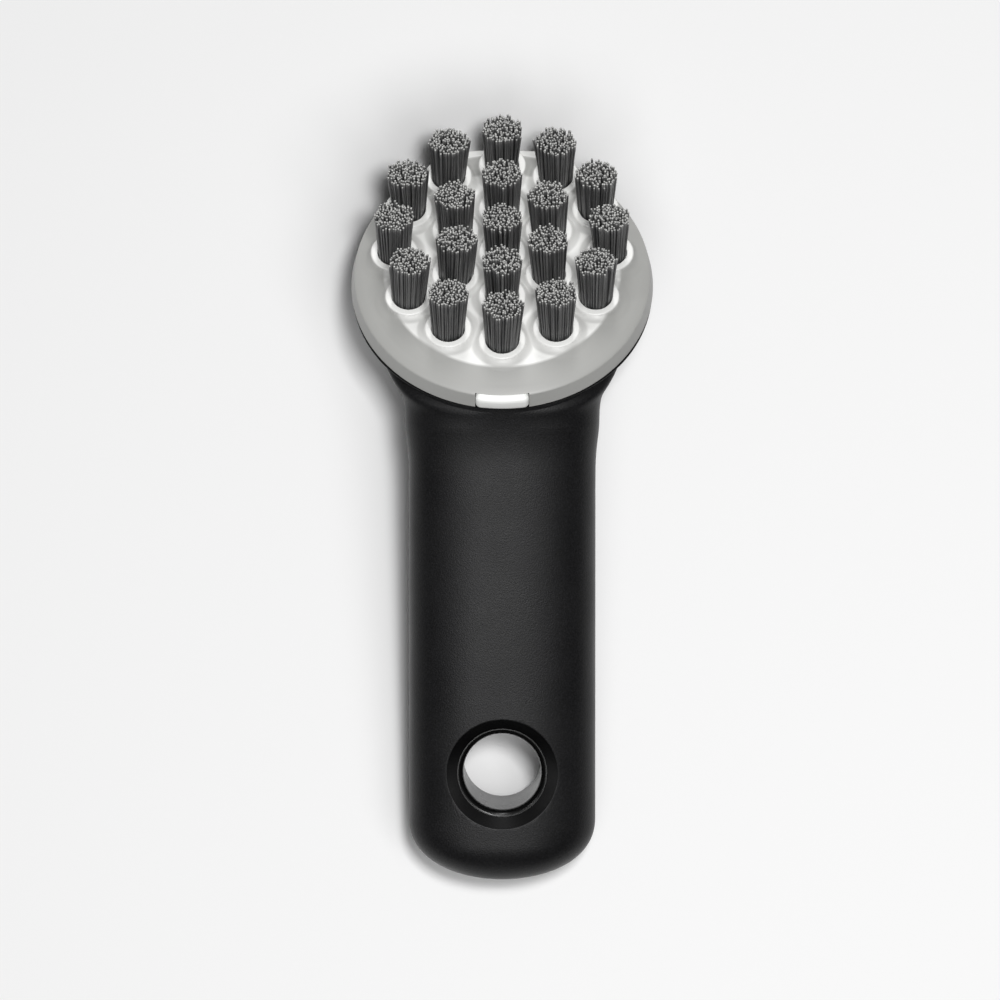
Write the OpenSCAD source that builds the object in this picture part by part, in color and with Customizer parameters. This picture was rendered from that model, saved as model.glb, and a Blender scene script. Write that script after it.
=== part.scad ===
// Cast iron scrubbing brush with a canted round head, lying on its back.
// The row frame has +Z up, +Y toward the toe of the head and its origin
// under the middle of the part, on the surface that the part rests on.

/* [Plate] */
// Radius of the bristle plate at its lower rim
plate_r = 31.2; // [30.5:0.1:34]
// Height of the plate's face above its lower rim
plate_h = 4.9; // [4.6:0.1:6]
// Height of the flat band round the rim
band_h = 3.15; // [3:0.05:3.4]
// Inward draft of the band from its lower to its upper edge
band_draft = 0.55; // [0.2:0.05:0.8]
// How far the plate's edge stands out over the cup
plate_lip = 0.3; // [0:0.1:0.6]
// Wall of the spigot
spigot_wall = 1.6; // [1.2:0.1:2.4]
// Depth of the spigot below the lower rim
spigot_depth = 4.1; // [3:0.1:4.5]
// Depth of the plate's solid underside below the lower rim
slab_depth = 1.2; // [0.8:0.1:1.6]
// Width of the tongue at the toe that hooks under the cup's wall
toe_tongue_w = 8; // [6:0.5:10]
// Reach of that tongue past the spigot
toe_tongue_reach = 1.3; // [1:0.1:1.5]
// Thickness of that tongue
toe_tongue_t = 1.2; // [1:0.1:1.4]
// Depth of that tongue's top below the lower rim
toe_tongue_depth = 2.2; // [2:0.1:2.6]
// How far the scraper's straight edge stands out past the rim
scraper_proud = 1.4; // [0.8:0.1:1.6]
// Width of the scraper's straight edge
scraper_w = 14; // [12:0.5:16]
// Radius of the lobe that carries the scraper's edge
scraper_lobe_r = 24; // [22:0.5:26]
// Slope of the scraper's bevel in degrees
scraper_slope = 28; // [25:1:35]
// Thickness of the scraper's edge
scraper_edge = 1.1; // [0.8:0.1:1.6]

/* [Tufts] */
// Distance from the ring of outer tufts to the plate's rim, before the shift
rim_margin = 8.9; // [8.8:0.1:9.4]
// Shift of the tuft pattern toward the toe
pattern_shift = 4.1; // [2:0.1:4.2]
// Radius of a tuft where it leaves its collar
tuft_r = 3.4; // [3:0.05:3.6]
// Half width of a tuft at its tips, across the head
tip_r = 4.45; // [3.8:0.05:4.6]
// Half width of a tuft at its tips, along the head
tip_reach = 3.75; // [3.5:0.05:4.5]
// Length of the bristles above the collar
bristle_len = 12.5; // [8:0.5:18]
// Rise of the tips toward the middle of a tuft
tip_dome = 0.6; // [0:0.1:1]
// Strands drawn in each tuft
strands = 22; // [19:1:26]
// Half thickness of a drawn strand
strand_r = 0.42; // [0.3:0.02:0.5]
// Step in length from one strand to the next, over three strands
strand_step = 0.35; // [0:0.05:0.5]
// Depth of the strands' roots in the slice of backing that holds them
strand_root = 0.6; // [0.3:0.1:1]
// Height of a collar above the plate's face
collar_h = 1.2; // [0.6:0.1:1.6]
// Outer radius of a collar's rounded top
collar_r = 4.7; // [4.6:0.05:4.8]
// Radius of the fillet at a collar's foot
collar_foot = 0.7; // [0.4:0.05:0.75]
// Depth of a tuft's hole below the collar's top
hole_depth = 5.4; // [4.5:0.1:5.6]

/* [Handle] */
// Angle between the handle's axis and the plate in degrees
cant = 45; // [40:1:52]
// Width of the handle
handle_w = 38.6; // [34:0.2:42]
// Thickness of the handle
handle_t = 22; // [20:0.1:25]
// Length of the handle from the end of the cove to its tip
handle_len = 96; // [80:0.5:120]
// Extra half width where the handle meets the head
neck_flare = 0.8; // [0:0.1:2]
// Length over which that extra width fades
neck_fade = 5.5; // [4:0.5:30]
// Angle below the plate at which the head's flare has faded, in degrees
flare_deg = 13; // [11:0.5:17]
// Radius of the cove between the handle's top and the head
cove_r = 6.5; // [5:0.5:10]
// Depth of the rounded back of the head
back_h = 9.5; // [9:0.1:12]
// Wall of the cup that takes the plate's spigot, with its skin
cup_wall = 4.4; // [4.2:0.1:5]
// Radius of the handle's end seen from the side
end_r = 8; // [5:0.5:9]
// Length of the handle's rounded end seen from above
end_len = 12.4; // [9:0.2:16]
// Thickness of the soft skin over the core
skin_t = 1.4; // [1:0.1:1.8]

/* [Hanging hole] */
// Radius of the hanging hole's bore
bore_r = 8; // [6:0.1:9]
// Wall of the liner round the bore
liner_wall = 1.3; // [1:0.1:2]
// Depth of the soft recess round the liner
recess_depth = 2; // [1.6:0.1:2.6]
// Height of the step at the recess's outer edge
recess_step = 0.3; // [0.2:0.05:0.5]
// Width of the soft recess round the liner
recess_w = 2.15; // [1.5:0.05:2.6]
// Depth of the liner's rounded mouth on the side of the bristles
mouth_depth = 2; // [1:0.1:2.5]
// Width of that rounding across the liner's wall
mouth_lip = 1.1; // [0.6:0.05:1.2]
// Depth of the liner's rounded mouth on the back
back_mouth_depth = 0.8; // [0.5:0.1:2.5]
// Distance from the bore's axis to the handle's tip
hole_inset = 23.4; // [22:0.2:30]

/* [Release tab] */
// Width of the tab's face
tab_w = 11; // [9:0.2:13]
// How far the tab's face stands proud of the rim
tab_proud = 0.6; // [0.3:0.1:1]
// Thickness of the tab's face
tab_t = 2.3; // [2:0.1:2.6]
// Travel of the tab when it is pressed
tab_travel = 1.2; // [1:0.1:1.3]
// Half width of the tab's tongue and leg
tongue_half_w = 3.6; // [3:0.1:4]
// Thickness of the tab's tongue
tongue_t = 1.4; // [1:0.1:1.5]
// Height of the tongue's underside above the lower rim
tongue_z = 0.6; // [0.4:0.1:0.8]
// Rounding of the face's corners
tab_round = 1; // [0.5:0.1:1.4]
// How far the face bulges in the middle of its height
tab_bulge = 0.5; // [0.2:0.1:0.8]
// Length of the tab's tongue behind its face
tongue_len = 5.2; // [4:0.1:6]
// Room between the spigot and the tab's leg
leg_room = 0.8; // [0.6:0.1:1]
// Thickness of the tab's leg
leg_t = 1.2; // [1:0.1:1.3]
// Depth of the leg's foot below the lower rim
leg_depth = 5.8; // [5.4:0.1:6.2]
// Reach of the hook on the leg
hook = 1.1; // [0.8:0.1:1.2]
// Height of the hook on the leg
hook_h = 1; // [0.8:0.1:1.2]
// Thickness of the hook at its edge
hook_edge = 0.3; // [0.2:0.1:0.5]

/* [Anchors] */
// Length of a tuft's metal anchor
anchor_len = 5.6; // [4.5:0.1:5.8]
// Thickness of an anchor
anchor_t = 0.5; // [0.4:0.05:0.7]
// Height of an anchor
anchor_h = 1.6; // [1.2:0.1:2]

/* [Fits] */
// Height of the window in the band above the flat of the band
window_rise = 0.4; // [0.2:0.1:0.6]
// Gap of the seam between the plate and the handle
seam = 0.3; // [0.2:0.05:0.5]
// Gap round the tab where it slides
slide_gap = 0.3; // [0.25:0.05:0.4]
// Gap between parts that seat on each other
seat_gap = 0.1; // [0.05:0.05:0.2]
// Gap between the core and the skin moulded over it
bond_gap = 0.05; // [0.02:0.01:0.1]
// Depth of the flats worn by the surface that the brush rests on
rest_flat = 0.3; // [0.1:0.05:0.5]

/* [Hidden] */
skin_segments = 40;
fan_steps = 16;
shaft_steps = 7;
end_steps = 8;
curve_fn = 96;
tuft_fn = 48;
arc_steps = 6;
golden_angle = 137.508;
back_blend = 8;
head_exponent = 2;
shaft_exponent = 2.5;
end_exponent = 2.2;
end_sweep = 88;
overlap = 0.5;
big = 400;

// Rings of tufts lie a pitch apart, and a tuft's place is [ring radius, angle from the heel]
ring_pitch = (plate_r - rim_margin) / 2;
tuft_places = concat(
    [[0, 0]],
    [for (i = [0 : 5]) [ring_pitch, 60 * i]],
    [for (i = [0 : 11]) [2 * ring_pitch, 30 * i]]
);
TUFT_NODES = concat(
    ["tuft_centre"],
    [for (i = [1 : 6]) str("tuft_inner_", i)],
    [for (i = [1 : 12]) str("tuft_outer_", i)]
);

cup_r = plate_r - plate_lip;
spigot_r = cup_r - cup_wall - slide_gap;
rim_fillet = plate_h - band_h;
face_r = plate_r - band_draft - rim_fillet;
collar_top = plate_h + collar_h;
collar_round = collar_h - collar_foot;
tuft_floor = collar_top - hole_depth;
liner_r = bore_r + liner_wall;
recess_r = liner_r + recess_w;
cavity_r = spigot_r + slide_gap;
cavity_depth = spigot_depth + seat_gap;

// Tab places along Y in the head's frame, at rest
tab_front = -plate_r - tab_proud;
tab_back = tab_front + tab_t;
leg_back = -spigot_r - leg_room;
leg_front = leg_back - leg_t;
window_h = band_h + window_rise;
window_back = tab_back + tab_travel + slide_gap;
hook_top = -leg_depth + hook_h;

// The scraper's edge and the middle of its lobe, in the head's frame
scraper_reach = plate_r + scraper_proud;
scraper_edge_z = plate_h - (scraper_reach - face_r) * tan(scraper_slope);
scraper_lobe_y = scraper_reach - sqrt(scraper_lobe_r * scraper_lobe_r - scraper_w * scraper_w / 4);

// The cove's axis, in the head's frame: Y toward the toe, Z along the bristles
pivot = [-cup_r - cove_r, -seam];
fan_deg = 90 - cant;
down = [cos(fan_deg), -sin(fan_deg)];
along = [-sin(fan_deg), -cos(fan_deg)];

// Circles of the toe and of the handle's end, which both touch the ground
toe_r = back_h - seam;
toe_c = [cup_r - toe_r, -seam];
end_low_c = pivot + down * (cove_r + handle_t - end_r) + along * (handle_len - end_r);
end_top_c = pivot + down * (cove_r + end_r) + along * (handle_len - end_r);
rest_gap = toe_c - end_low_c;
tilt = atan2(rest_gap[1], rest_gap[0]) + asin((end_r - toe_r) / norm(rest_gap));

function world_y(p) = p[0] * cos(tilt) + p[1] * sin(tilt);
function world_z(p) = p[1] * cos(tilt) - p[0] * sin(tilt);

toe_tip = [pattern_shift + 2 * ring_pitch, collar_top + bristle_len];
reach_front = world_y(toe_tip) + tip_reach * cos(tilt);
reach_back = world_y(end_top_c) - end_r;
head_y = -(reach_front + reach_back) / 2;
head_z = toe_r - rest_flat - world_z(toe_c);

// Sections of the handle and of the head's back, d inside the outer skin.
// Each is [origin, direction across, near edge, far edge, half width, exponent].
function back_plane(a, d) = (toe_r - d) / sin(a);
function back_shaft(a, d) = (cove_r + handle_t - d) / cos(fan_deg - a);
function toe_arc(a, d) =
    let (
        c = toe_c - pivot,
        mid = c[0] * cos(a) - c[1] * sin(a),
        r = toe_r - d
    )
    mid + sqrt(mid * mid - c[0] * c[0] - c[1] * c[1] + r * r);
function toe_limit(d) = asin((toe_r - d) / norm(toe_c - pivot));
function fan_back(a, d) =
    a < toe_limit(d) * 0.999
        ? toe_arc(a, d)
        : pow(pow(back_plane(a, d), back_blend) + pow(back_shaft(a, d), back_blend),
              1 / back_blend);
function fan_half_w(a) =
    let (neck = handle_w / 2 + neck_flare)
    neck + (cup_r - neck) * exp(-pow(a / flare_deg, 1.5));

function fan_section(a, d, lift = 0) = [
    pivot + [0, lift],
    [cos(a), -sin(a)],
    cove_r + d,
    fan_back(a, d),
    fan_half_w(a) - d,
    head_exponent + (shaft_exponent - head_exponent) * a / fan_deg
];

function side_round(s, d) =
    let (r = end_r - d, past = s - (handle_len - end_r))
    past > 0 ? r - sqrt(max(r * r - past * past, 0)) : 0;
function plan_round(s, d) =
    let (past = (s - (handle_len - end_len)) / (end_len - d))
    past > 0 ? pow(max(1 - pow(past, end_exponent), 0), 1 / end_exponent) : 1;

function shaft_section(s, d) = [
    pivot + along * s,
    down,
    cove_r + d + side_round(s, d),
    cove_r + handle_t - d - side_round(s, d),
    (handle_w / 2 - d) * plan_round(s, d) + neck_flare * exp(-pow(s / neck_fade, 2)),
    shaft_exponent
];

function sections(d, lift) = concat(
    lift > 0 ? [fan_section(0, d, lift)] : [],
    [for (i = [0 : fan_steps]) fan_section(fan_deg * pow(i / fan_steps, 1.5), d)],
    [for (i = [1 : shaft_steps]) shaft_section((handle_len - end_len) * i / shaft_steps, d)],
    [for (i = [1 : end_steps])
        shaft_section(handle_len - end_len + (end_len - d) * sin(end_sweep * i / end_steps), d)]
);

function signed_pow(v, p) = sign(v) * pow(abs(v), p);
function section_points(s) = [
    for (j = [0 : skin_segments - 1])
        let (
            t = 360 * j / skin_segments,
            x = s[4] * signed_pow(cos(t), 2 / s[5]),
            v = (s[2] + s[3]) / 2 + (s[3] - s[2]) / 2 * signed_pow(sin(t), 2 / s[5]),
            p = s[0] + s[1] * v
        )
        [x, p[0], p[1]]
];

// One closed solid through a list of sections
module loft(list) {
    m = skin_segments;
    last = len(list) - 1;
    points = [for (s = list) each section_points(s)];
    faces = concat(
        [for (k = [0 : last - 1], j = [0 : m - 1])
            [k * m + j, k * m + (j + 1) % m, (k + 1) * m + j]],
        [for (k = [0 : last - 1], j = [0 : m - 1])
            [k * m + (j + 1) % m, (k + 1) * m + (j + 1) % m, (k + 1) * m + j]],
        [[for (j = [m - 1 : -1 : 0]) j]],
        [[for (j = [0 : m - 1]) last * m + j]]
    );
    polyhedron(points = points, faces = faces, convexity = 8);
}

// Head frame: origin at the middle of the plate's lower rim
module in_head() {
    translate([0, head_y, head_z]) rotate([-tilt, 0, 0]) children();
}

// Hole frame: origin on the bore's axis at the middle of the handle's thickness
module in_hole() {
    mid = pivot + down * (cove_r + handle_t / 2) + along * (handle_len - hole_inset);
    in_head() translate([0, mid[0], mid[1]]) rotate([90 - fan_deg, 0, 0]) children();
}

module above_ground() {
    translate([-big / 2, -big / 2, 0]) cube(big);
}

module grip() {
    color([0.07, 0.07, 0.07]) difference() {
        intersection() {
            in_head() loft(sections(0, 0));
            above_ground();
        }
        difference() {
            in_head() loft(sections(skin_t, 1));
            in_hole() liner_pockets(-bond_gap);
        }
        in_hole() cylinder(r = liner_r + bond_gap, h = handle_t + 2, center = true, $fn = curve_fn);
        in_hole() for (side = [0, 1]) mirror([0, 0, side]) recess();
    }
}

// Height of the handle's face above its middle, at a distance x across
function face_height(x) =
    handle_t / 2 * pow(1 - pow(abs(x) / (handle_w / 2), shaft_exponent), 1 / shaft_exponent);

// Funnel from a round edge in the curved face down to the liner, with a small step at the edge
module recess() {
    m = 64;
    floor_z = handle_t / 2 - recess_depth;
    top_z = handle_t / 2 + overlap;
    rings = [
        for (j = [0 : m - 1])
            let (
                turn = [cos(360 * j / m), sin(360 * j / m)],
                edge_z = face_height(recess_r * turn[0]) - recess_step,
                foot_z = floor_z - overlap * (edge_z - floor_z) / recess_w
            )
            [concat((liner_r - overlap) * turn, foot_z), concat(recess_r * turn, edge_z),
             concat(recess_r * turn, top_z)]
    ];
    points = concat(
        [for (level = [0 : 2], ring = rings) ring[level]],
        [[0, 0, floor_z - overlap], [0, 0, top_z]]
    );
    faces = [
        for (j = [0 : m - 1]) let (n = (j + 1) % m) each [
            [3 * m, j, n], [3 * m + 1, 2 * m + n, 2 * m + j],
            [j, m + j, n], [n, m + j, m + n],
            [m + j, 2 * m + j, m + n], [m + n, 2 * m + j, 2 * m + n]
        ]
    ];
    polyhedron(points = points, faces = faces, convexity = 4);
}

// Room in both faces of the core for the soft skin to turn in to the liner
module liner_pockets(extra) {
    for (side = [0, 1]) mirror([0, 0, side])
        translate([0, 0, handle_t / 2 - recess_depth - skin_t - extra])
            cylinder(r = recess_r + skin_t + extra, h = handle_t, $fn = curve_fn);
}

module handle_core() {
    color([0.03, 0.03, 0.03]) difference() {
        union() {
            difference() {
                in_head() loft(sections(skin_t + bond_gap, 0));
                in_hole() liner_pockets(0);
            }
            in_hole() cylinder(r = liner_r, h = handle_t - 2 * recess_depth, center = true,
                $fn = curve_fn);
        }
        in_hole() bore_cut();
        in_head() cup_cut();
    }
}

// The bore and its two rounded mouths
module bore_cut() {
    cylinder(r = bore_r, h = handle_t + 2, center = true, $fn = curve_fn);
    mouth(mouth_depth);
    mirror([0, 0, 1]) mouth(back_mouth_depth);
}

module mouth(depth) {
    mouth_r = bore_r + mouth_lip;
    translate([0, 0, handle_t / 2 - recess_depth]) rotate_extrude($fn = curve_fn) difference() {
        translate([0, -depth]) square([mouth_r, depth + overlap]);
        translate([mouth_r, -depth]) scale([mouth_lip / depth, 1]) circle(r = depth, $fn = 48);
    }
}

module cup_cut() {
    translate([0, 0, -cavity_depth]) cylinder(r = cavity_r, h = big, $fn = curve_fn);
    translate([-toe_tongue_w / 2 - slide_gap, 0, -toe_tongue_depth - toe_tongue_t - slide_gap])
        cube([toe_tongue_w + 2 * slide_gap, spigot_r + toe_tongue_reach + slide_gap,
              toe_tongue_t + 2 * slide_gap]);
    latch_pocket();
}

// Room in the cup's wall for the tab's leg and its hook
module latch_pocket() {
    half = tongue_half_w + slide_gap;
    wall = leg_front - slide_gap - seat_gap;
    translate([-half, wall, -leg_depth - 2 * slide_gap])
        cube([2 * half, leg_back + tab_travel + 2 * slide_gap - wall, big]);
    translate([-half, wall - hook, -leg_depth - slide_gap])
        cube([2 * half, hook + slide_gap, hook_h + 2 * slide_gap]);
}

module bristle_plate() {
    color([0.78, 0.78, 0.76]) in_head() difference() {
        union() {
            difference() {
                union() {
                    plate_body();
                    scraper();
                }
                scraper_bevel();
            }
            spigot();
            for (p = tuft_places) at_tuft(p) collar();
            intersection() {
                for (p = tuft_places) at_tuft(p) collar_fillet();
                cylinder(r = face_r, h = big, $fn = curve_fn);
            }
        }
        for (p = tuft_places) at_tuft(p) translate([0, 0, tuft_floor])
            cylinder(r = tuft_r + bond_gap, h = big, $fn = 48);
        tab_window();
    }
}

module at_tuft(p) {
    translate([p[0] * sin(p[1]), pattern_shift - p[0] * cos(p[1]), 0]) children();
}

module plate_body() {
    rotate_extrude($fn = curve_fn) polygon(concat(
        [[0, -slab_depth], [spigot_r, -slab_depth], [spigot_r, 0], [plate_r, 0],
         [plate_r - band_draft, band_h]],
        [for (i = [1 : arc_steps]) [face_r + rim_fillet * cos(90 * i / arc_steps),
                                    band_h + rim_fillet * sin(90 * i / arc_steps)]],
        [[0, plate_h]]
    ));
}

// Ring under the plate that seats in the cup, with the tongue at its toe
module spigot() {
    difference() {
        translate([0, 0, -spigot_depth]) cylinder(r = spigot_r, h = spigot_depth, $fn = curve_fn);
        translate([0, 0, -big / 2]) cylinder(r = spigot_r - spigot_wall, h = big, $fn = curve_fn);
    }
    translate([-toe_tongue_w / 2, spigot_r - spigot_wall / 2, -toe_tongue_depth - toe_tongue_t])
        cube([toe_tongue_w, spigot_wall / 2 + toe_tongue_reach, toe_tongue_t]);
}

// Lobe at the toe that ends in the scraper's straight edge
module scraper() {
    translate([0, 0, scraper_edge_z - scraper_edge]) linear_extrude(rim_fillet + scraper_edge)
        intersection() {
            translate([0, scraper_lobe_y]) circle(r = scraper_lobe_r, $fn = curve_fn);
            translate([-plate_r, 0]) square([2 * plate_r, scraper_reach]);
        }
}

// What the bevel takes off the top of the lobe
module scraper_bevel() {
    far = scraper_reach + overlap;
    intersection() {
        rotate_extrude($fn = curve_fn) polygon([
            [face_r, plate_h], [far, plate_h - (far - face_r) * tan(scraper_slope)],
            [far, plate_h + overlap], [face_r, plate_h + overlap]
        ]);
        translate([-scraper_w, 0, 0]) cube([2 * scraper_w, far, plate_h + overlap]);
    }
}

// Rounded boss round a tuft's hole
module collar() {
    rotate_extrude($fn = tuft_fn) polygon(concat(
        [[0, band_h], [collar_r, band_h]],
        [for (i = [0 : arc_steps])
            [collar_r - collar_round * (1 - cos(90 * i / arc_steps)),
             collar_top - collar_round * (1 - sin(90 * i / arc_steps))]],
        [[0, collar_top]]
    ));
}

// Hollow fillet between a collar and the plate's face
module collar_fillet() {
    rotate_extrude($fn = tuft_fn) polygon(concat(
        [[collar_r - overlap, band_h], [collar_r + collar_foot, band_h]],
        [for (i = [0 : arc_steps])
            [collar_r + collar_foot * (1 - sin(90 * i / arc_steps)),
             plate_h + collar_foot * (1 - cos(90 * i / arc_steps))]],
        [[collar_r - overlap, plate_h + collar_foot]]
    ));
}

// Window in the band, slot for the tongue and slot for the leg
module tab_window() {
    half_face = tab_w / 2 + slide_gap;
    half_tongue = tongue_half_w + slide_gap;
    translate([-half_face, window_back - big, -overlap])
        cube([2 * half_face, big, window_h + overlap]);
    translate([-half_tongue, tab_back, tongue_z - slide_gap])
        cube([2 * half_tongue, tongue_len + tab_travel + slide_gap, tongue_t + 2 * slide_gap]);
    translate([-half_tongue, leg_front - slide_gap, -big / 2])
        cube([2 * half_tongue, leg_t + tab_travel + 2 * slide_gap, big / 2 + tongue_z]);
}

module release_tab() {
    color([0.95, 0.95, 0.95]) in_head() {
        tab_face();
        translate([-tongue_half_w, tab_back - overlap, tongue_z])
            cube([2 * tongue_half_w, tongue_len + overlap, tongue_t]);
        translate([-tongue_half_w, leg_front, -leg_depth])
            cube([2 * tongue_half_w, leg_t, leg_depth + tongue_z + tongue_t / 2]);
        translate([tongue_half_w, 0, 0]) rotate([0, -90, 0]) linear_extrude(2 * tongue_half_w)
            polygon([[-leg_depth, leg_back], [-leg_depth, leg_front],
                     [hook_top - hook_edge, leg_front - hook], [hook_top, leg_front - hook],
                     [hook_top, leg_back]]);
    }
}

// Face of the tab, a bar with rounded ends that follows the rim
module tab_face() {
    low = seat_gap;
    high = window_h - slide_gap;
    bulge_r = -tab_front - tab_bulge;
    intersection() {
        rotate_extrude($fn = curve_fn) polygon(concat(
            [[0, low]],
            [for (i = [0 : arc_steps]) [bulge_r + tab_bulge * sin(180 * i / arc_steps),
                                        low + (high - low) * i / arc_steps]],
            [[0, high]]
        ));
        translate([0, tab_back, (low + high) / 2]) rotate([90, 0, 0])
            linear_extrude(tab_t + overlap) hull() for (x = [-1, 1], z = [-1, 1])
                translate([x * (tab_w / 2 - tab_round), z * ((high - low) / 2 - tab_round)])
                    circle(r = tab_round, $fn = 32);
    }
}

// A slot at the foot of each tuft straddles its anchor
module tuft(i) {
    floor_z = tuft_floor + seat_gap;
    slice_top = collar_top - seat_gap;
    color([0.3, 0.3, 0.3]) in_head() at_tuft(tuft_places[i]) difference() {
        union() {
            translate([0, 0, floor_z]) cylinder(r = tuft_r, h = slice_top - floor_z, $fn = 32);
            for (k = [0 : strands - 1]) strand(k, i * golden_angle / 3, slice_top - strand_root);
        }
        anchor_space(seat_gap);
    }
}

// One three-sided strand that leans out from the tuft's middle
module strand(k, turn, foot_z) {
    share = sqrt((k + 0.5) / strands);
    angle = golden_angle * k + turn;
    foot = (tuft_r - strand_r) * share;
    tip = [tip_r - strand_r, tip_reach - strand_r] * share;
    top_z = collar_top + bristle_len + tip_dome * (1 - share * share) - strand_step * (k % 3);
    points = concat(
        [for (j = [0 : 2]) [foot * cos(angle) + strand_r * cos(120 * j),
                            foot * sin(angle) + strand_r * sin(120 * j), foot_z]],
        [for (j = [0 : 2]) [tip[0] * cos(angle) + strand_r * cos(120 * j),
                            tip[1] * sin(angle) + strand_r * sin(120 * j), top_z]]
    );
    polyhedron(points = points, faces = [
        [0, 1, 2], [5, 4, 3], [0, 3, 4], [0, 4, 1], [1, 4, 5], [1, 5, 2], [2, 5, 3], [2, 3, 0]
    ]);
}

module anchor_space(gap) {
    translate([-anchor_t / 2 - gap, -tuft_r - overlap, tuft_floor - overlap])
        cube([anchor_t + 2 * gap, 2 * (tuft_r + overlap), anchor_h + overlap + 2 * gap]);
}

module tuft_anchors() {
    color("silver") in_head() for (p = tuft_places) at_tuft(p)
        translate([-anchor_t / 2, -anchor_len / 2, tuft_floor + bond_gap])
            cube([anchor_t, anchor_len, anchor_h]);
}

handle_core();
grip();
bristle_plate();
release_tab();
tuft_anchors();
for (i = [0 : len(TUFT_NODES) - 1])
    tuft(i);
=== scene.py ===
"""A cast iron scrubbing brush, lying on its back under soft studio light.

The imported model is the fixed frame. Pieces are shaped in millimetres, in the frame of
the brush's head (Y toward the toe, Z along the bristles) or of its hanging hole, and
are then placed in the row's frame, in metres.
"""

import math
import random

import bmesh
import bpy
from mathutils import Matrix, Vector


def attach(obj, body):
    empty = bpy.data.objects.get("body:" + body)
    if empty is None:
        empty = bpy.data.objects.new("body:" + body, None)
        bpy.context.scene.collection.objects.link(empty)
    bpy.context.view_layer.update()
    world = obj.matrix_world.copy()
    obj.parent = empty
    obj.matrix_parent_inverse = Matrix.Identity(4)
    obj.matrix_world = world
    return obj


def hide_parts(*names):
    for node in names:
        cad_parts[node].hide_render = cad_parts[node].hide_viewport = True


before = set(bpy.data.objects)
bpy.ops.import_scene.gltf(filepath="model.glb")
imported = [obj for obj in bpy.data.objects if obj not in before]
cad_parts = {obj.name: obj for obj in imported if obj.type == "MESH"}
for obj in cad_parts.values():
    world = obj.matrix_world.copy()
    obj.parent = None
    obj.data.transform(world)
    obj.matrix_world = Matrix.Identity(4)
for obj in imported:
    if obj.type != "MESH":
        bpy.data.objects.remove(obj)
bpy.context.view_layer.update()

# Driving sizes of the plate, in millimetres
PLATE_R = 31.2
PLATE_H = 4.9
BAND_H = 3.15
BAND_DRAFT = 0.55
PLATE_LIP = 0.3
SPIGOT_WALL = 1.6
SPIGOT_DEPTH = 4.1
SLAB_DEPTH = 1.2
SCRAPER_PROUD = 1.4
SCRAPER_W = 14
SCRAPER_LOBE_R = 24
SCRAPER_SLOPE = math.radians(28)
SCRAPER_EDGE = 1.1
# Driving sizes of the tufts
RIM_MARGIN = 8.9
PATTERN_SHIFT = 4.1
TUFT_R = 3.4
TIP_R = 4.45
TIP_REACH = 3.75
BRISTLE_LEN = 12.5
COLLAR_H = 1.2
HOLE_DEPTH = 5.4
# Driving sizes of the handle
CANT = 45
HANDLE_W = 38.6
HANDLE_T = 22
HANDLE_LEN = 96
NECK_FLARE = 0.8
NECK_FADE = 5.5
FLARE_DEG = 13
COVE_R = 6.5
BACK_H = 9.5
CUP_WALL = 4.4
END_R = 8
END_LEN = 12.4
SKIN_T = 1.4
# Driving sizes of the hanging hole
BORE_R = 8
LINER_WALL = 1.3
RECESS_DEPTH = 2
RECESS_STEP = 0.3
RECESS_W = 2.15
HOLE_INSET = 23.4
# Driving sizes of the release tab
TAB_W = 11
TAB_PROUD = 0.6
TAB_T = 2.3
TAB_TRAVEL = 1.2
TONGUE_HALF_W = 3.6
TONGUE_T = 1.4
TONGUE_Z = 0.6
TONGUE_LEN = 5.2
LEG_T = 1.2
LEG_DEPTH = 5.8
LEG_ROOM = 0.8
HOOK = 1.1
HOOK_H = 1
WINDOW_RISE = 0.4
TAB_SIDE_GAP = 0.07
# Fits
SEAM = 0.3
SLIDE_GAP = 0.3
SEAT_GAP = 0.1
BOND_GAP = 0.05
REST_FLAT = 0.3
# How far a cutter reaches past the surface that it opens
CUT_PAST = 1

# Exponents of the skin's superellipses
BACK_BLEND = 8
HEAD_EXPONENT = 2
SHAFT_EXPONENT = 2.5
END_EXPONENT = 2.2

CUP_R = PLATE_R - PLATE_LIP
SPIGOT_R = CUP_R - CUP_WALL - SLIDE_GAP
RIM_FILLET = PLATE_H - BAND_H
FACE_R = PLATE_R - BAND_DRAFT - RIM_FILLET
COLLAR_TOP = PLATE_H + COLLAR_H
TUFT_FLOOR = COLLAR_TOP - HOLE_DEPTH
RING_PITCH = (PLATE_R - RIM_MARGIN) / 2
LINER_R = BORE_R + LINER_WALL
RECESS_R = LINER_R + RECESS_W
FAN = math.radians(90 - CANT)

# Tuft names and places in the head's frame, by [ring radius, angle from the heel]
TUFT_RINGS = (
    [("tuft_centre", 0, 0)]
    + [(f"tuft_inner_{i + 1}", RING_PITCH, 60 * i) for i in range(6)]
    + [(f"tuft_outer_{i + 1}", 2 * RING_PITCH, 30 * i) for i in range(12)]
)
TUFTS = [
    (name, r * math.sin(math.radians(a)), PATTERN_SHIFT - r * math.cos(math.radians(a)))
    for name, r, a in TUFT_RINGS
]

# The cove's axis and the circles that rest on the ground, as (y, z) in the head's frame
PIVOT = Vector((-CUP_R - COVE_R, -SEAM))
DOWN = Vector((math.cos(FAN), -math.sin(FAN)))
ALONG = Vector((-math.sin(FAN), -math.cos(FAN)))
TOE_R = BACK_H - SEAM
TOE_C = Vector((CUP_R - TOE_R, -SEAM))
END_LOW_C = PIVOT + DOWN * (COVE_R + HANDLE_T - END_R) + ALONG * (HANDLE_LEN - END_R)
END_TOP_C = PIVOT + DOWN * (COVE_R + END_R) + ALONG * (HANDLE_LEN - END_R)
REST_GAP = TOE_C - END_LOW_C
TILT = math.atan2(REST_GAP.y, REST_GAP.x) + math.asin((END_R - TOE_R) / REST_GAP.length)


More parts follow.
